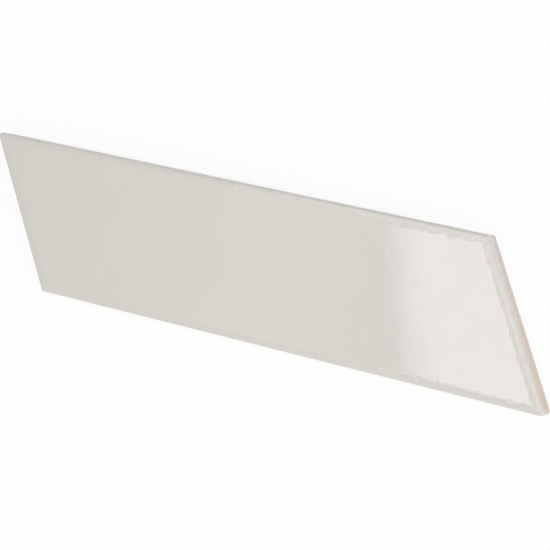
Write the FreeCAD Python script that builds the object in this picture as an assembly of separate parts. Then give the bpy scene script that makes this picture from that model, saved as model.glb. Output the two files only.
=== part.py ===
import FreeCAD, Part
import math
import os

V = FreeCAD.Vector
CENTRE = V(0, 0, 0)
UP = V(0, 0, 1)

# Plan of the tile, in millimetres and degrees
LONG_SIDE = 186.0
FACE_WIDTH = 52.0
END_ANGLE = 60.0
THICKNESS = 8.3
CORNER_RADIUS = 1.2

# Edge of the glazed face: a wide soft roll, then a tight arris, then the upright side
ROLL_WIDTH = 3.3
ROLL_DROP = 0.45
ARRIS_RADIUS = 0.9

# Pressed back: a bevelled edge, and shallow keying pockets that leave ribs between them
BACK_BEVEL = 0.5
BACK_RIM = 4.0
RIB_WIDTH = 2.0
POCKETS_ALONG = 14
POCKETS_ACROSS = 4
POCKET_DEPTH = 0.6
POCKET_CORNER = 1.2
POCKET_SLOPE = 45.0

# What follows from the plan: the slanted ends are END_LENGTH long and stand END_SPAN apart
angle = math.radians(END_ANGLE)
along_end = V(-math.cos(angle), math.sin(angle), 0)
END_SPAN = LONG_SIDE * math.sin(angle)
END_LENGTH = FACE_WIDTH / math.sin(angle)


def border_edges(outside):
    """Section of the tile's border in the YZ plane, from the back up to the flat of the face.

    The upright side stands at y = outside. The roll meets the flat without a kink, and the arris
    meets both the roll and the side without one.
    """
    roll_radius = (ROLL_WIDTH ** 2 + ROLL_DROP ** 2) / (2 * ROLL_DROP)
    roll_centre = V(0, outside - ROLL_WIDTH, THICKNESS - roll_radius)
    rise = math.sqrt((roll_radius - ARRIS_RADIUS) ** 2 - (ROLL_WIDTH - ARRIS_RADIUS) ** 2)
    arris_centre = V(0, outside - ARRIS_RADIUS, roll_centre.z + rise)
    outward = (arris_centre - roll_centre).normalize()
    back_edge = V(0, outside - BACK_BEVEL, 0)
    side_foot = V(0, outside, BACK_BEVEL)
    side_top = V(0, outside, arris_centre.z)
    arris_middle = arris_centre + (outward + V(0, 1, 0)).normalize() * ARRIS_RADIUS
    blend = roll_centre + outward * roll_radius
    roll_middle = roll_centre + (outward + UP).normalize() * roll_radius
    flat_edge = roll_centre + UP * roll_radius
    return [
        Part.makeLine(back_edge, side_foot),
        Part.makeLine(side_foot, side_top),
        Part.Arc(side_top, arris_middle, blend).toShape(),
        Part.Arc(blend, roll_middle, flat_edge).toShape(),
    ]


def closed_face(edges):
    return Part.Face(Part.Wire(Part.sortEdges(edges)[0]))


def long_bar(section):
    """A section in the YZ plane, drawn out along X past both ends of the tile."""
    reach = V(LONG_SIDE + END_LENGTH, 0, 0)
    return section.translated(reach * -1).extrude(reach * 2)


def crossed(lengthways, endways):
    """What a bar along the long sides has in common with a bar along the slanted ends."""
    return lengthways.common(endways.rotated(CENTRE, UP, -END_ANGLE))


def tile_bar(span):
    """Bar with the tile's whole section between two edges that stand span apart."""
    border = border_edges(span / 2)
    opposite = [edge.mirror(CENTRE, V(0, 1, 0)) for edge in border]
    back = Part.makeLine(border[0].firstVertex().Point, opposite[0].firstVertex().Point)
    flat = Part.makeLine(border[-1].lastVertex().Point, opposite[-1].lastVertex().Point)
    return long_bar(closed_face(border + opposite + [back, flat]))


def turned_corner():
    """The border's section, as far as a plan corner's axis, turned about that axis."""
    border = border_edges(CORNER_RADIUS)
    inside = V(0, -ROLL_WIDTH - BACK_BEVEL, 0)
    rest = Part.makePolygon([
        border[-1].lastVertex().Point,
        inside + UP * THICKNESS,
        inside,
        border[0].firstVertex().Point,
    ])
    to_axis = Part.makePlane(CORNER_RADIUS, THICKNESS, CENTRE, V(1, 0, 0), V(0, 1, 0))
    section = closed_face(border + rest.Edges).common(to_axis)
    return section.Faces[0].revolve(CENTRE, UP, 360)


def pocket_bar(width):
    """Bar with a pocket's section: width at the mouth, sloping in to the floor."""
    mouth = width / 2
    floor = mouth - POCKET_DEPTH / math.tan(math.radians(POCKET_SLOPE))
    outline = Part.makePolygon([
        V(0, -mouth, 0),
        V(0, mouth, 0),
        V(0, floor, POCKET_DEPTH),
        V(0, -floor, POCKET_DEPTH),
        V(0, -mouth, 0),
    ])
    return long_bar(Part.Face(outline))


# Cushion-edged parallelogram with sharp plan corners
body = crossed(tile_bar(FACE_WIDTH), tile_bar(END_SPAN))

# Each sharp plan corner comes off and a turned corner goes in its place
turned = turned_corner()
for side in (-1, 1):
    for end in (-1, 1):
        corner = V(side * LONG_SIDE / 2, 0, 0) + along_end * (end * END_LENGTH / 2)
        along_side = V(-side, 0, 0)
        up_end = along_end * -end
        opening = along_side.getAngle(up_end)
        axis = corner + (along_side + up_end) * (CORNER_RADIUS / math.sin(opening))
        touch = CORNER_RADIUS / math.tan(opening / 2)
        outline = [axis, corner + along_side * touch, corner, corner + up_end * touch, axis]
        kite = Part.Face(Part.makePolygon(outline)).extrude(UP * THICKNESS)
        body = body.cut(kite).fuse(turned.translated(axis).common(kite))
body = body.removeSplitter()

# One keying pocket, with its four upright corners rounded
pocket_along = (END_SPAN - 2 * BACK_RIM + RIB_WIDTH) / POCKETS_ALONG - RIB_WIDTH
pocket_across = (FACE_WIDTH - 2 * BACK_RIM + RIB_WIDTH) / POCKETS_ACROSS - RIB_WIDTH
pocket = crossed(pocket_bar(pocket_across), pocket_bar(pocket_along))
corner_edges = [edge for edge in pocket.Edges if edge.BoundBox.ZLength > POCKET_DEPTH / 2]
pocket = pocket.makeFillet(POCKET_CORNER, corner_edges)

# Pockets in rows that follow the long sides and the slanted ends
next_pocket = V((pocket_along + RIB_WIDTH) / math.sin(angle), 0, 0)
next_row = along_end * ((pocket_across + RIB_WIDTH) / math.sin(angle))
pockets = []
for row in range(POCKETS_ACROSS):
    row_middle = next_row * (row - (POCKETS_ACROSS - 1) / 2)
    for place in range(POCKETS_ALONG):
        pockets.append(pocket.translated(row_middle + next_pocket * (place - (POCKETS_ALONG - 1) / 2)))
body = body.cut(Part.makeCompound(pockets))

tile = body.Solids[0]
os.makedirs("parts", exist_ok=True)
tile.exportStep("parts/chevron_tile.step")
print("chevron_tile", tile.isValid(), len(body.Solids), len(tile.Faces), round(tile.Volume, 1), tile.BoundBox)
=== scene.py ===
# %% [markdown]
# A chevron wall tile is one piece of pressed clay, glazed on its face and fired once more. Its shape
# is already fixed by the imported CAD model, so the first step is to load that model and keep its box.
# Everything made below is in metres and sits in the same frame: the tile lies on its back, its long
# sides run along X, and the glazed face looks up along Z.

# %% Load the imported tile
import math

import bpy
from mathutils import Matrix, Quaternion, Vector


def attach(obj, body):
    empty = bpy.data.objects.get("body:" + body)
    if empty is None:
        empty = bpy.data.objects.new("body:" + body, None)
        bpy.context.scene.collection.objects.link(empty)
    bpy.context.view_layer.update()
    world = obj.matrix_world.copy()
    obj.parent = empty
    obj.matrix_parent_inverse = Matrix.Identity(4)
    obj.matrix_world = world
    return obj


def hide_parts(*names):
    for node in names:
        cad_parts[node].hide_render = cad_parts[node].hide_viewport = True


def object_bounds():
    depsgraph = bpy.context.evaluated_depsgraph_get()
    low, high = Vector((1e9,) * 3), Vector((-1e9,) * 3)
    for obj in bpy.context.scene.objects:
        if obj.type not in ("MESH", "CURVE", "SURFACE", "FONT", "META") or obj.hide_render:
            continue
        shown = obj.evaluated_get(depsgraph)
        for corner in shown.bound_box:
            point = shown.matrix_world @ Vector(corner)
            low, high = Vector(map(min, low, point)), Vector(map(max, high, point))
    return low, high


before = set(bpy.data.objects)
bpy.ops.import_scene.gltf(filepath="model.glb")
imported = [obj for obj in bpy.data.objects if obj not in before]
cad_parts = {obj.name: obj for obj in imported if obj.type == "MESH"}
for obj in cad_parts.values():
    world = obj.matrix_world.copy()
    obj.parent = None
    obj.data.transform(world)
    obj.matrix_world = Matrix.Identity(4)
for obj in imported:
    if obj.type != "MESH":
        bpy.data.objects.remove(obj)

CAD_NODE = "chevron_tile"
cad_box = [list(corner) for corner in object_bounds()]
print("CAD box in metres:", cad_box)

# %% [markdown]
# Both the shape and the finish of this tile are written as sums over positions. Placing one node for
# every plus and minus by hand would hide the sums, so a small class wraps a socket: an expression on
# wrapped sockets adds the Math nodes by itself. Any other kind of node comes from the one method
# `node`, which sets the node's own settings first and then the values or links of its sockets.

# %% A socket that can be used in a sum
class Wire:
    def __init__(self, tree, socket=None):
        self.tree = tree
        self.socket = socket

    def node(self, kind, settings=None, sockets=None, out=0):
        made = self.tree.nodes.new(kind)
        for name, value in (settings or {}).items():
            setattr(made, name, value)
        for key, value in (sockets or {}).items():
            for item in value if isinstance(value, list) else [value]:
                if isinstance(item, Wire):
                    self.tree.links.new(item.socket, made.inputs[key])
                else:
                    made.inputs[key].default_value = item
        return Wire(self.tree, made.outputs[out]) if len(made.outputs) else Wire(self.tree)

    def out(self, name):
        return Wire(self.tree, self.socket.node.outputs[name])

    def math(self, operation, *terms):
        return self.node("ShaderNodeMath", {"operation": operation}, dict(enumerate(terms)))

    def __add__(self, other):
        return self.math("ADD", self, other)

    def __sub__(self, other):
        return self.math("SUBTRACT", self, other)

    def __rsub__(self, other):
        return self.math("SUBTRACT", other, self)

    def __mul__(self, other):
        return self.math("MULTIPLY", self, other)

    def __truediv__(self, other):
        return self.math("DIVIDE", self, other)

    def __gt__(self, other):
        return self.math("GREATER_THAN", self, other)

    __radd__ = __add__
    __rmul__ = __mul__

    def clamped(self):
        return self.math("MAXIMUM", self.math("MINIMUM", self, 1.0), 0.0)


print("sums of sockets are ready")

# %% [markdown]
# On the real tile the face is flat, then rolls down softly over a few millimetres, then turns tightly
# over the arris into the upright side. The sizes are those of the CAD model, and the last four say how
# uneven the glaze is. They could be plain numbers in the script. Here they become the named inputs of
# one Geometry Nodes tree, so that a reader can drag any of them later.

# %% Sizes of the pressing
MM = 0.001
SIZES = {
    "Long Side": 186.0 * MM,
    "Face Width": 52.0 * MM,
    "End Angle": math.radians(60.0),
    "Thickness": 8.3 * MM,
    "Corner Radius": 1.2 * MM,
    "Roll Width": 3.3 * MM,
    "Roll Drop": 0.45 * MM,
    "Arris Radius": 0.9 * MM,
    "Back Bevel": 0.5 * MM,
    "Back Rim": 4.0 * MM,
    "Rib Width": 2.0 * MM,
    "Pockets Along": 14,
    "Pockets Across": 4,
    "Pocket Depth": 0.6 * MM,
    "Pocket Corner": 1.2 * MM,
    "Face Wave": 0.016 * MM,
    "Glaze Ripple": 0.018 * MM,
    "Roll Wobble": 2.2 * MM,
    "Wave Seed": 9.0,
}
print(len(SIZES), "named sizes")

# %% [markdown]
# How fine the mesh is depends on where it is: the arris needs short steps, the flat long ones. A
# subdivided box has just the right layout, with one grid for the face and a band of rows for the
# sides, and its corners and edges already joined. So the tree starts from such a box, which reaches
# from -1 to 1 on each axis, counts each point's steps from the border, and puts it where the tile's
# section says.

# %% Start the tree
ARRIS_STEPS = 4
ROLL_STEPS = 8
SIDE_STEPS = 6
BEVEL_STEPS = 2
FLAT_STEPS = (260, 76)
BORDER_STEPS = ARRIS_STEPS + ROLL_STEPS
LEVEL_STEPS = ARRIS_STEPS + SIDE_STEPS + BEVEL_STEPS

tree = bpy.data.node_groups.new("pressed_tile", "GeometryNodeTree")
tree.interface.new_socket("Geometry", in_out="INPUT", socket_type="NodeSocketGeometry")
for name, value in SIZES.items():
    kind = "NodeSocketInt" if isinstance(value, int) else "NodeSocketFloat"
    tree.interface.new_socket(name, in_out="INPUT", socket_type=kind)
tree.interface.new_socket("Finish", in_out="INPUT", socket_type="NodeSocketMaterial")
tree.interface.new_socket("Geometry", in_out="OUTPUT", socket_type="NodeSocketGeometry")


def sin(value):
    return value.math("SINE", value)


def cos(value):
    return value.math("COSINE", value)


start = Wire(tree).node("NodeGroupInput")
size = {name: start.out(name) for name in SIZES}
sine = sin(size["End Angle"])
cosine = cos(size["End Angle"])
half_across = size["Face Width"] / 2
half_along = size["Long Side"] * sine / 2
print("tree inputs:", [item.name for item in tree.interface.items_tree if item.in_out == "INPUT"])

# %% [markdown]
# The border's section is two arcs that touch without a kink. The roll's circle is tangent to the
# flat, and the arris circle lies inside it, tangent to it and to the side. From the middle of the
# arris, one run of steps goes up to the flat and another goes down the side to the bevel at the back.

# %% Section of the border
roll, drop, arris = size["Roll Width"], size["Roll Drop"], size["Arris Radius"]
bevel = size["Back Bevel"]
roll_radius = (roll * roll + drop * drop) / (drop * 2)
between = roll_radius - arris
rise = between.math("SQRT", between * between - (roll - arris) * (roll - arris))
arris_height = size["Thickness"] - roll_radius + rise
blend_angle = rise.math("ARCTAN2", rise, roll - arris)
roll_angle = math.pi / 2 - blend_angle
half_arris = blend_angle * 0.5


def climb(steps, flat_steps, half):
    """Inset from the side and height at a number of steps inwards from the middle of the arris."""
    turn = half_arris * ((steps / ARRIS_STEPS).clamped() + 1)
    lean = roll_angle * (1 - ((steps - ARRIS_STEPS) / ROLL_STEPS).clamped())
    flat = ((steps - BORDER_STEPS) / (flat_steps / 2)).clamped() * (half - roll)
    inset = arris - arris * cos(turn) + roll_radius * (sin(roll_angle) - sin(lean)) + flat
    height = arris_height + arris * sin(turn) + roll_radius * (cos(lean) - cos(roll_angle))
    return inset, height


box = Wire(tree).node("GeometryNodeInputPosition")
box = box.node("ShaderNodeSeparateXYZ", None, {0: box})
box_x, box_y, box_z = box.out("X"), box.out("Y"), box.out("Z")
steps_x = (1 - box_x.math("ABSOLUTE", box_x)) * (BORDER_STEPS + FLAT_STEPS[0] / 2)
steps_y = (1 - box_y.math("ABSOLUTE", box_y)) * (BORDER_STEPS + FLAT_STEPS[1] / 2)
inset_x, height_x = climb(steps_x, FLAT_STEPS[0], half_along)
inset_y, height_y = climb(steps_y, FLAT_STEPS[1], half_across)

level = (1 - box_z) * (LEVEL_STEPS / 2)
level_turn = half_arris * (1 - (level / ARRIS_STEPS).clamped())
down_side = ((level - ARRIS_STEPS) / SIDE_STEPS).clamped()
down_bevel = ((level - ARRIS_STEPS - SIDE_STEPS) / BEVEL_STEPS).clamped()
level_inset = arris - arris * cos(level_turn) + bevel * down_bevel
side_drop = down_side * (arris_height - bevel)
level_height = arris_height + arris * sin(level_turn) - side_drop - bevel * down_bevel
arris_inset = arris - arris * cos(half_arris)
arris_middle = arris_height + arris * sin(half_arris)
print("section of the border:", len(tree.nodes), "nodes so far")

# %% [markdown]
# Molten glaze never settles quite level, and it pulls back from an edge unevenly. On the real tile
# this shows only in reflections: their borders wander a little on the face and ripple along the roll.
# A bump would do for the picture, but the exported mesh would lose it. So the roll's lines are shifted
# in and out by a noise, which fades away at the outline and on the flat. The tile's size stays as it
# was.

# %% Wobble of the roll
WOBBLE_LENGTH = 2.4 * MM
BOX_FACE = 0.999


def at_level(inset, half):
    return level_inset + (inset - arris_inset) * (half - level_inset) / (half - arris_inset)


def noise_at(place, length, detail=1.0):
    return place.node(
        "ShaderNodeTexNoise",
        {"noise_dimensions": "4D"},
        {"Vector": place, "W": size["Wave Seed"], "Scale": 1 / length, "Detail": detail},
    )


def near_roll(inset):
    return (inset / roll).clamped() * (1 - ((inset - roll) / (roll * 2)).clamped())


inset_x = at_level(inset_x, half_along)
inset_y = at_level(inset_y, half_across)
side_x = box_x.math("SIGN", box_x)
side_y = box_y.math("SIGN", box_y)
on_face = box_z > BOX_FACE
rough_place = side_x.node("ShaderNodeCombineXYZ", None, {
    "X": side_x * (half_along - inset_x), "Y": side_y * (half_across - inset_y)})
wobble = (noise_at(rough_place, WOBBLE_LENGTH, detail=2.0) - 0.5) * size["Roll Wobble"] * on_face
inset_x = inset_x + wobble * near_roll(inset_x)
inset_y = inset_y + wobble * near_roll(inset_y)
print("wobble:", len(tree.nodes), "nodes so far")

# %% [markdown]
# Now the plan. A point knows how far it is inside the slanted ends and inside the long sides. Where
# both are less than the corner radius, it is inside a plan corner, and the rays from the corner's
# centre are shortened so that square rings become round ones. Then the two distances are turned into
# X and Y: the ends lean, so X depends on both.

# %% Plan with rounded corners
radius = size["Corner Radius"]
near_x = radius - inset_x
near_y = radius - inset_y
lean = side_x * side_y * cosine
in_corner = ((near_x - lean * near_y) > 0.0) * ((near_y - lean * near_x) > 0.0)
ray = (near_x * near_x + near_y * near_y - lean * near_x * near_y * 2) / (1 - lean * lean)
pull = in_corner * (near_x.math("MAXIMUM", near_x, near_y) / ray.math("SQRT", ray) - 1)
across_ends = side_x * (half_along - inset_x + pull * near_x)
across_sides = side_y * (half_across - inset_y + pull * near_y)
plan_x = (across_ends - across_sides * cosine) / sine
plan = plan_x.node("ShaderNodeCombineXYZ", None, {"X": plan_x, "Y": across_sides})
print("plan:", len(tree.nodes), "nodes so far")

# %% [markdown]
# The heights come last. Each point of the face has two, one from its distance to the ends and one from
# its distance to the long sides. The lower one holds, so that two rolls meet in a mitre.
# The glaze also lies in long waves and short ripples of a hundredth of a millimetre. The noise less one
# is never above zero, so they only lower the face. The box loses its underside, because the back gets
# pockets.

# %% Heights and the shaped box
FACE_WAVE_LENGTH = 24 * MM
RIPPLE_LENGTH = 6.5 * MM

inset = inset_x.math("MINIMUM", inset_x, inset_y)
waves = (noise_at(plan, FACE_WAVE_LENGTH) - 1) * size["Face Wave"]
ripples = (noise_at(plan, RIPPLE_LENGTH) - 1) * size["Glaze Ripple"]
sag = (waves + ripples) * (inset / roll).clamped()
on_top = height_x.math("MINIMUM", height_x, height_y) - arris_middle + sag
height = level_height + on_face * on_top
shaped = plan_x.node("ShaderNodeCombineXYZ", None, {"X": plan_x, "Y": across_sides, "Z": height})

blank = Wire(tree).node("GeometryNodeMeshCube", None, {
    "Size": (2.0, 2.0, 2.0),
    "Vertices X": 2 * BORDER_STEPS + FLAT_STEPS[0] + 1,
    "Vertices Y": 2 * BORDER_STEPS + FLAT_STEPS[1] + 1,
    "Vertices Z": LEVEL_STEPS + 1,
})
under = box_z.math("LESS_THAN", box_z, -BOX_FACE)
shell = blank.node("GeometryNodeDeleteGeometry", {"domain": "FACE", "mode": "ALL"}, {
    "Geometry": blank, "Selection": under})
shell = shell.node("GeometryNodeSetPosition", None, {"Geometry": shell, "Position": shaped})
print("shell with an open back:", len(tree.nodes), "nodes so far")

# %% [markdown]
# The back was pressed by a punch that leaves rows of shallow pockets, so that adhesive keys into the
# tile. One pocket is a rounded parallelogram, filled and pushed in, with a smaller floor so that its
# walls slope. It could be cut out with a Boolean, but fifty-six cuts are slow and leave ragged faces. A
# fill looks up by itself, so the pocket is flipped to look out of the tile's back.

# %% One pocket and its mouth
CORNER_POINTS = 8

rim, rib, depth = size["Back Rim"], size["Rib Width"], size["Pocket Depth"]
pocket_along = (half_along * 2 - rim * 2 + rib) / size["Pockets Along"] - rib
pocket_across = (half_across * 2 - rim * 2 + rib) / size["Pockets Across"] - rib
mouth = rim.node("GeometryNodeCurvePrimitiveQuadrilateral", {"mode": "PARALLELOGRAM"}, {
    "Width": pocket_along / sine,
    "Height": pocket_across,
    "Offset": 0 - pocket_across * cosine / sine,
})
mouth = mouth.node("GeometryNodeFilletCurve", {"mode": "POLY"}, {
    "Curve": mouth, "Count": CORNER_POINTS, "Radius": size["Pocket Corner"]})
lid = mouth.node("GeometryNodeFillCurve", {"mode": "NGONS"}, {"Curve": mouth})
pressed = lid.node("GeometryNodeExtrudeMesh", {"mode": "FACES"}, {
    "Mesh": lid, "Offset": (0.0, 0.0, 1.0), "Offset Scale": depth, "Individual": False})
floor_share = 1 - depth * 2 / pocket_across
spot = rim.node("GeometryNodeInputPosition")
narrowed = spot.node("ShaderNodeVectorMath", {"operation": "SCALE"}, {0: spot, "Scale": floor_share})
narrowed = narrowed.node("ShaderNodeSeparateXYZ", None, {0: narrowed})
narrowed = narrowed.node("ShaderNodeCombineXYZ", None, {
    "X": narrowed, "Y": narrowed.out("Y"), "Z": depth})
pocket = pressed.node("GeometryNodeSetPosition", None, {
    "Geometry": pressed, "Selection": pressed.out("Top"), "Position": narrowed})
pocket = pocket.node("GeometryNodeFlipFaces", None, {"Mesh": pocket})
print("one pocket:", len(tree.nodes), "nodes so far")

# %% [markdown]
# The other pockets are copies of the first on a grid of points that leans with the tile's ends. Filling
# the tile's open edge and all the pocket mouths together gives the flat land between them, with a
# hole for each pocket. It is flipped as well, and points that lie on each other are merged, so that
# shell, land and pockets become one closed skin.

# %% Rows of pockets and the land between them
WELD = 0.005 * MM

row_step = pocket_across + rib
grid = rim.node("GeometryNodeMeshGrid", None, {
    "Size X": (pocket_along + rib) / sine * (size["Pockets Along"] - 1),
    "Size Y": row_step * (size["Pockets Across"] - 1),
    "Vertices X": size["Pockets Along"],
    "Vertices Y": size["Pockets Across"],
})
spot_y = spot.node("ShaderNodeSeparateXYZ", None, {0: spot}, out="Y")
shift = spot_y.node("ShaderNodeCombineXYZ", None, {"X": 0 - spot_y * cosine / sine})
grid = grid.node("GeometryNodeSetPosition", None, {"Geometry": grid, "Offset": shift})


def on_grid(shape):
    copies = grid.node("GeometryNodeInstanceOnPoints", None, {"Points": grid, "Instance": shape})
    return copies.node("GeometryNodeRealizeInstances", None, {"Geometry": copies})


edge_faces = rim.node("GeometryNodeInputMeshEdgeNeighbors")
open_edge = shell.node("GeometryNodeMeshToCurve", None, {
    "Mesh": shell, "Selection": edge_faces.math("LESS_THAN", edge_faces, 2)})
outlines = open_edge.node("GeometryNodeJoinGeometry", None, {"Geometry": [open_edge, on_grid(mouth)]})
land = outlines.node("GeometryNodeFillCurve", {"mode": "TRIANGLES"}, {"Curve": outlines})
land = land.node("GeometryNodeFlipFaces", None, {"Mesh": land})
tile = shell.node("GeometryNodeJoinGeometry", None, {"Geometry": [shell, land, on_grid(pocket)]})
tile = tile.node("GeometryNodeMergeByDistance", None, {"Geometry": tile, "Distance": WELD})
tile = tile.node("GeometryNodeRealizeInstances", None, {"Geometry": tile})
tile = tile.node("GeometryNodeSetMaterial", None, {"Geometry": tile, "Material": start.out("Finish")})
tile.node("NodeGroupOutput", None, {"Geometry": tile})
print("whole tile:", len(tree.nodes), "nodes")

# %% [markdown]
# The finish. The glaze is an off-white glass over a beige fired body. It is whole on the face and the
# upper arris, thins out down the sides with a ragged edge, a little lower on the far side, and below
# that the body shows, matt and sandy. They could be two materials on two sets of faces, but then the
# line between them would follow the mesh. So one material does both: a mask made from the height above
# the back, broken up by noise, goes from one to the other. Object coordinates are metres here, so a
# noise's scale is one over the size of its lumps.

# %% Where the glaze ends
glazed_tile = bpy.data.materials.new("glazed_tile")
glazed_tile.use_nodes = True
paint = glazed_tile.node_tree
paint.nodes.clear()
point = Wire(paint).node("ShaderNodeTexCoord").out("Object")


def lumps(lump_size, detail=2.0, roughness=0.5):
    return point.node("ShaderNodeTexNoise", None, {
        "Vector": point, "Scale": 1 / lump_size, "Detail": detail, "Roughness": roughness})


def swing(lump_size, detail=2.0):
    """Lumps about zero, so that they shift a value both ways and leave its mean."""
    return lumps(lump_size, detail) - 0.5


RUN_SIZE, RUN_DEPTH = 9 * MM, 3.2 * MM
NICK_SIZE, NICK_DEPTH = 1.2 * MM, 0.8 * MM
GLAZE_LINE = 5.4 * MM
GLAZE_LEAN = 0.05
GLAZE_EDGE = 3.4 * MM
GLAZE_WHOLE = 7.0 * MM
WHOLE_EDGE = 0.5 * MM
place = point.node("ShaderNodeSeparateXYZ", None, {0: point})
along_tile, across_tile, above_back = place.out("X"), place.out("Y"), place.out("Z")
ragged = swing(RUN_SIZE, 3.0) * RUN_DEPTH + swing(NICK_SIZE) * NICK_DEPTH
above_line = above_back - GLAZE_LINE + across_tile * GLAZE_LEAN + ragged
glaze = (above_line / GLAZE_EDGE + 0.5).clamped()
whole = ((above_back - GLAZE_WHOLE) / WHOLE_EDGE).clamped()
glaze = glaze.math("MAXIMUM", glaze, whole)
print("glaze thins out about", GLAZE_LINE / MM, "mm above the back")

# %% [markdown]
# Colours are mixed, not added, because a Math node would turn them grey. The glaze has a faint
# cloudiness. At the right end of this tile it is thin and patchy below the roll, most of all towards
# the near corner, so that the body tints it there; it thickens to its full colour on the roll. The body
# is toasted to orange along the near side, greyer and pinker along the far one, and has fine sandy
# grain.
# Towards the right end the far side's body is painted lighter still: a painted light for that end.

# %% Colours of glaze and body
GLAZE = (0.690, 0.660, 0.608, 1.0)
GLAZE_CLOUD = (0.702, 0.673, 0.624, 1.0)
BODY_TOASTED = (0.725, 0.608, 0.515, 1.0)
BODY_PALE = (0.640, 0.573, 0.554, 1.0)
# Painted light: the next colour and its reach make the far side's body lighter towards the right end.
BODY_PALE_PAINTED_LIGHT = (0.704, 0.630, 0.609, 1.0)
PAINTED_LIGHT_REACH = 80 * MM
BODY_SAND = (0.790, 0.680, 0.580, 1.0)
CLOUD_SIZE, CLOUD_START, CLOUD_GAIN = 18 * MM, 0.35, 2.5
TOAST_SIZE, TOAST_SHARE, TOAST_PATCHES = 7 * MM, 0.6, 1.2
TOAST_FADE = 44 * MM
SAND_SIZE, SAND_START, SAND_GAIN, SAND_SHARE = 0.35 * MM, 0.55, 5, 0.4
BARE_SIZE, BARE_SHARE, BARE_PATCHES = 4 * MM, 0.58, 0.9
BARE_LEAN = 5.0
BARE_END = 76 * MM
BARE_FADE = 3 * MM
THIN_HEIGHT = 6.9 * MM
FULL_HEIGHT = 8.0 * MM


def mix(share, low, high):
    return point.node("ShaderNodeMix", {"data_type": "RGBA"}, {0: share, 6: low, 7: high}, out=2)


cloud = ((lumps(CLOUD_SIZE) - CLOUD_START) * CLOUD_GAIN).clamped()
glaze_colour = mix(cloud, GLAZE, GLAZE_CLOUD)
toasted = (TOAST_SHARE - across_tile / TOAST_FADE + swing(TOAST_SIZE, 3.0) * TOAST_PATCHES).clamped()
# Painted light: the far side's body is mixed lighter towards the right end, as if more light fell
# there.
painted_light_share = (along_tile / PAINTED_LIGHT_REACH * 0.5 + 0.5).clamped()
pale_with_painted_light = mix(painted_light_share, BODY_PALE, BODY_PALE_PAINTED_LIGHT)
sand = ((lumps(SAND_SIZE) - SAND_START) * SAND_GAIN).clamped()
body_colour = mix(sand * SAND_SHARE, mix(toasted, pale_with_painted_light, BODY_TOASTED), BODY_SAND)
thickening = ((above_back - THIN_HEIGHT) / (FULL_HEIGHT - THIN_HEIGHT)).clamped()
bare = (BARE_SHARE - across_tile * BARE_LEAN + swing(BARE_SIZE) * BARE_PATCHES).clamped()
end_sine, end_cosine = math.sin(SIZES["End Angle"]), math.cos(SIZES["End Angle"])
to_end = along_tile * end_sine + across_tile * end_cosine
near_end = ((to_end - BARE_END) / BARE_FADE).clamped()
cover = glaze * (1 - bare * near_end * (1 - thickening))
colour = mix(cover, body_colour, glaze_colour)
print("glaze is thin only from", BARE_END / MM, "mm towards the right end")

# %% [markdown]
# Gloss tells glaze from clay more than colour does. The glaze is nearly a mirror, with the softest
# haze; where it thins out it dulls quickly, and the body is rough. The same mask also picks the fine
# bump, too fine for the mesh: low ripples under the gloss, beads along the arris, a peel like an
# orange's along the roll, and grain in the clay. Heights are in millimetres, as the bump's distance is.

# %% Gloss and grain
GLAZE_ROUGHNESS = 0.04
BODY_ROUGHNESS = 0.88
GLAZE_HEIGHT = 0.04
HAZE_SIZE, HAZE_RANGE = 5 * MM, 0.016
GRAIN_SIZE, GRAIN_HEIGHT = 0.3 * MM, 0.05
RIPPLE_SIZE, RIPPLE_HEIGHT = 6 * MM, 0.006
BEAD_SIZE, BEAD_HEIGHT = 3.5 * MM, 0.09
BEAD_TOP, BEAD_FADE = 8.0 * MM, 0.25 * MM
PEEL_SIZE, PEEL_HEIGHT = 1.5 * MM, 0.10
PEEL_WIDTH, PEEL_FADE = 2.4 * MM, 1.2 * MM
haze = swing(HAZE_SIZE) * HAZE_RANGE + GLAZE_ROUGHNESS
gloss = glaze * glaze
roughness = BODY_ROUGHNESS + gloss * (haze - BODY_ROUGHNESS)
grain = lumps(GRAIN_SIZE, 3.0, roughness=0.7) * GRAIN_HEIGHT
ripple = lumps(RIPPLE_SIZE, 1.0) * RIPPLE_HEIGHT
below_roll = 1 - ((above_back - BEAD_TOP) / BEAD_FADE).clamped()
beads = lumps(BEAD_SIZE, 1.0) * BEAD_HEIGHT * below_roll
from_side = SIZES["Face Width"] / 2 - across_tile.math("ABSOLUTE", across_tile)
from_end = SIZES["Long Side"] / 2 * end_sine - to_end.math("ABSOLUTE", to_end)
from_border = from_side.math("MINIMUM", from_side, from_end)
on_roll = 1 - ((from_border - PEEL_WIDTH) / PEEL_FADE).clamped()
peel = swing(PEEL_SIZE, 1.0) * PEEL_HEIGHT * on_roll
relief = grain + glaze * (ripple + beads + peel - grain + GLAZE_HEIGHT)
bump = relief.node("ShaderNodeBump", None, {"Height": relief, "Strength": 1.0, "Distance": 1.0 * MM})
surface = colour.node("ShaderNodeBsdfPrincipled", None, {
    "Base Color": colour, "Roughness": roughness, "Normal": bump, "IOR": 1.5})
surface.node("ShaderNodeOutputMaterial", None, {"Surface": surface})
print("finish:", len(paint.nodes), "nodes")

# %% [markdown]
# The tree's inputs are set by their identifiers before the object is evaluated for the first time.
# The evaluated result becomes a plain mesh. A fired edge is never knife-sharp, so a small bevel
# softens the edges of the pockets and of the back. The tile is shaded smooth, apart from the flat
# parts of its back, whose long thin faces would show false shades. Rounding errors of a few thousandths
# of a millimetre are then cut off at the CAD box.

# %% Make the tile a plain mesh
FIRED_EDGE = 0.15 * MM
SHARP_ANGLE = math.radians(18)
FLAT = 0.999


def as_plain_mesh(piece):
    bpy.context.view_layer.update()
    evaluated = piece.evaluated_get(bpy.context.evaluated_depsgraph_get())
    mesh = bpy.data.meshes.new_from_object(evaluated)
    mesh.name = piece.name
    piece.modifiers.clear()
    piece.data = mesh
    return mesh


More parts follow.
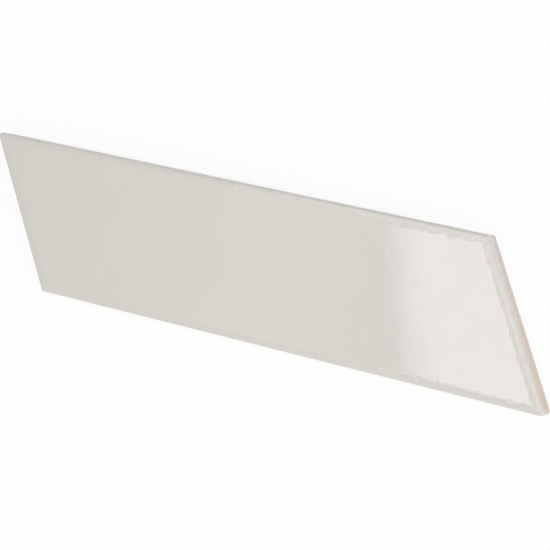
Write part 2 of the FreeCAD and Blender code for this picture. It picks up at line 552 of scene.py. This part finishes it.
piece = bpy.data.objects.new("pressed_tile", bpy.data.meshes.new("pressed_tile"))
bpy.context.scene.collection.objects.link(piece)
shaping = piece.modifiers.new("shaping", "NODES")
shaping.node_group = tree
for item in tree.interface.items_tree:
    if item.in_out == "INPUT" and item.name in SIZES:
        shaping[item.identifier] = SIZES[item.name]
    if item.name == "Finish":
        shaping[item.identifier] = glazed_tile
as_plain_mesh(piece)

softening = piece.modifiers.new("softening", "BEVEL")
softening.width = FIRED_EDGE
softening.segments = 2
softening.limit_method = "ANGLE"
softening.angle_limit = SHARP_ANGLE
mesh = as_plain_mesh(piece)
mesh.polygons.foreach_set("use_smooth", [polygon.normal.z > -FLAT for polygon in mesh.polygons])
lowest, highest = cad_box
for corner in mesh.vertices:
    corner.co = [min(max(value, low), high) for value, low, high in zip(corner.co, lowest, highest)]
mesh.calc_loop_triangles()
print("tile mesh:", len(mesh.vertices), "points,", len(mesh.loop_triangles), "triangles")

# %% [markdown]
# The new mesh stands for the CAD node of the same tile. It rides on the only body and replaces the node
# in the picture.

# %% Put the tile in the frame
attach(piece, "root")
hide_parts(CAD_NODE)
print("tile rides on root and replaces", CAD_NODE)

# %% [markdown]
# The stage is a plain pale floor. To the camera and in reflections it is mostly white light of its own,
# with a share of the real floor left in, so that it stays white and still takes the tile's shadow. More
# light would whiten it too, but would bleach the tile. Under the tile the floor is open, just inside
# the bevel of the back, and from below the camera looks through it, so that the back can be looked at.

# %% Floor
FLOOR_SIZE = 6.0
FLOOR_COLOUR = (0.96, 0.96, 0.96, 1.0)
FLOOR_WHITE = 0.88
OPEN_INSET = 1.0 * MM
ROUND = ((-1, -1), (1, -1), (1, 1), (-1, 1))


def looked_at(rays):
    """One for a ray that shows the stage itself, seen straight or in a mirror or through glass."""
    straight = rays.out("Is Camera Ray")
    return straight.math("MAXIMUM", straight.math("MAXIMUM", straight, rays.out("Is Glossy Ray")),
                         rays.out("Is Transmission Ray"))


floor_mesh = bpy.data.meshes.new("floor")
half_floor = FLOOR_SIZE / 2
opening_x = SIZES["Long Side"] / 2 - OPEN_INSET / end_sine
opening_y = SIZES["Face Width"] / 2 - OPEN_INSET
leaning = opening_y / math.tan(SIZES["End Angle"])
floor_corners = [(x * half_floor, y * half_floor, 0) for x, y in ROUND]
floor_corners += [(x * opening_x - y * leaning, y * opening_y, 0) for x, y in ROUND]
floor_faces = [(side, (side + 1) % 4, (side + 1) % 4 + 4, side + 4) for side in range(4)]
floor_mesh.from_pydata(floor_corners, [], floor_faces)
floor = bpy.data.objects.new("floor", floor_mesh)
bpy.context.scene.collection.objects.link(floor)

pale_floor = bpy.data.materials.new("pale_floor")
pale_floor.use_nodes = True
stage_nodes = pale_floor.node_tree
stage_nodes.nodes.clear()
rays = Wire(stage_nodes).node("ShaderNodeLightPath")
lit = rays.node("ShaderNodeBsdfDiffuse", None, {"Color": FLOOR_COLOUR})
white = rays.node("ShaderNodeEmission", None, {"Strength": 1.0})
seen_floor = lit.node("ShaderNodeMixShader", None, {0: looked_at(rays) * FLOOR_WHITE, 1: lit, 2: white})
from_below = rays.node("ShaderNodeNewGeometry").out("Backfacing") * rays.out("Is Camera Ray")
open_below = rays.node("ShaderNodeBsdfTransparent")
seen_floor = lit.node("ShaderNodeMixShader", None, {0: from_below, 1: seen_floor, 2: open_below})
seen_floor.node("ShaderNodeOutputMaterial", None, {"Surface": seen_floor})
floor_mesh.materials.append(pale_floor)
print("floor", FLOOR_SIZE, "m wide, open under the tile")

# %% [markdown]
# The even part of the studio light is the world, a soft dome. It is brighter straight above, which
# keeps the sides darker than the face, and brighter to the near right than to the far left. It is as
# bright straight below, where it reaches only the back, through the open floor. A ray that shows the
# dome itself sees plain white.

# %% Dome
DOME = 0.384
DOME_OVERHEAD = 0.385
DOME_TO_RIGHT = 0.42
DOME_TO_NEAR = 0.32
world = bpy.data.worlds.new("dome")
bpy.context.scene.world = world
world.use_nodes = True
dome = world.node_tree
dome.nodes.clear()
rays = Wire(dome).node("ShaderNodeLightPath")
heading = rays.node("ShaderNodeTexCoord").out("Generated")
heading = heading.node("ShaderNodeSeparateXYZ", None, {0: heading})
upright = heading.math("ABSOLUTE", heading.out("Z"))
light = DOME + upright * DOME_OVERHEAD
light = light + heading.out("X") * DOME_TO_RIGHT - heading.out("Y") * DOME_TO_NEAR
light = light.math("MAXIMUM", light, 0.0)
strength = light + looked_at(rays) * (1 - light)
sky = rays.node("ShaderNodeBackground", None, {"Color": (1.0, 1.0, 1.0, 1.0), "Strength": strength})
sky.node("ShaderNodeOutputWorld", None, {"Surface": sky})
print("dome of strength", DOME, "at the level of the floor and", DOME + DOME_OVERHEAD, "overhead")

# %% [markdown]
# Gloss only shows what it reflects, so each lamp has a place in the glaze. The patch light hangs level
# where the camera's line of sight goes on from the right third of the face. Like a real soft box it is
# dimmer towards one edge, which gives the patch its slow left side. The glow light beside it brightens
# the face slowly towards the patch, and has faded out where the patch begins. The top light draws the
# thin streak along the right arris, the far light the pale upper border, and the key stands low by the
# right end and makes that end a little brighter than the other.

# %% Lamps
WHITE = (1.0, 1.0, 1.0)
SUDDEN = 0.001


def soft_box(name, place, facing, size, radiance, colour=WHITE, dim=1.0, fade=0.5, fade_out=SUDDEN):
    """Area lamp that starts at a share dim of its radiance on its left edge and ends at none.

    It brightens over a share fade of its width, and fades out over a share fade_out of it.
    """
    lamp = bpy.data.lights.new(name, "AREA")
    lamp.shape = "RECTANGLE"
    lamp.size, lamp.size_y = size
    lamp.energy = radiance * math.pi * size[0] * size[1]
    lamp.color = colour
    lamp.use_nodes = True
    lamp.node_tree.nodes.clear()
    across = Wire(lamp.node_tree).node("ShaderNodeNewGeometry").out("Parametric")
    across = across.node("ShaderNodeSeparateXYZ", None, {0: across})
    bright = (dim + (across / fade).clamped() * (1 - dim)) * ((1 - across) / fade_out).clamped()
    bulb = bright.node("ShaderNodeEmission", None, {"Strength": bright})
    bulb.node("ShaderNodeOutputLight", None, {"Surface": bulb})
    hung = bpy.data.objects.new(name, lamp)
    hung.matrix_world = Matrix.Translation(place) @ facing.to_matrix().to_4x4()
    bpy.context.scene.collection.objects.link(hung)
    print(name, "gives", round(lamp.energy, 2), "W")


def towards_tile(place):
    return (-Vector(place)).to_track_quat("-Z", "Y")


HANG = 1.208
LEVEL = Quaternion()
PATCH_TURN = Quaternion((0, 0, 1), math.radians(18.6))
PATCH_COLOUR = (0.97, 0.98, 1.08)
KEY_PLACE = (0.33, -0.03, 0.30)
soft_box("patch_light", place=(-0.239, -0.128, HANG), facing=PATCH_TURN, size=(0.215, 0.328),
         radiance=4.0, colour=PATCH_COLOUR, dim=0.30, fade=0.16)
soft_box("glow_light", place=(-0.605, -0.08, HANG), facing=LEVEL, size=(0.55, 0.56),
         radiance=0.92, dim=0.0, fade=0.72, fade_out=0.28)
soft_box("top_light", place=(0.11, 0.11, HANG), facing=LEVEL, size=(0.34, 0.28),
         radiance=2.0, dim=0.38, fade=0.55)
soft_box("far_light", place=(-0.315, 0.34, HANG), facing=LEVEL, size=(0.50, 0.58),
         radiance=2.2, dim=0.6, fade=0.6)
soft_box("key_light", place=KEY_PLACE, facing=towards_tile(KEY_PLACE), size=(0.45, 0.45), radiance=0.53)

# %% [markdown]
# The camera stands where the photograph was taken from, worked out from the tile's four straight
# edges: high above the right end, looking down, and turned so that the long sides run across the
# picture. A long lens keeps the far end nearly as wide as the near one.

# %% Camera
CAMERA_AIM = Vector((7.12 * MM, -1.99 * MM, 4.15 * MM))
CAMERA_AZIMUTH = math.radians(11.11)
CAMERA_ELEVATION = math.radians(66.63)
CAMERA_DISTANCE = 583.57 * MM
CAMERA_ROLL = math.radians(-88.98)
LENS = 113.9
SENSOR = 36.0

towards = Vector((
    math.cos(CAMERA_ELEVATION) * math.cos(CAMERA_AZIMUTH),
    math.cos(CAMERA_ELEVATION) * math.sin(CAMERA_AZIMUTH),
    math.sin(CAMERA_ELEVATION),
))
camera = bpy.data.objects.new("camera", bpy.data.cameras.new("camera"))
camera.data.lens = LENS
camera.data.sensor_width = SENSOR
camera.data.clip_start = 0.01
turned = (-towards).to_track_quat("-Z", "Y") @ Quaternion((0, 0, 1), CAMERA_ROLL)
stands = CAMERA_AIM + towards * CAMERA_DISTANCE
camera.matrix_world = Matrix.Translation(stands) @ turned.to_matrix().to_4x4()
bpy.context.scene.collection.objects.link(camera)
bpy.context.scene.camera = camera
bpy.context.scene.view_settings.view_transform = "Standard"
print("camera at", [round(value, 4) for value in camera.matrix_world.translation])
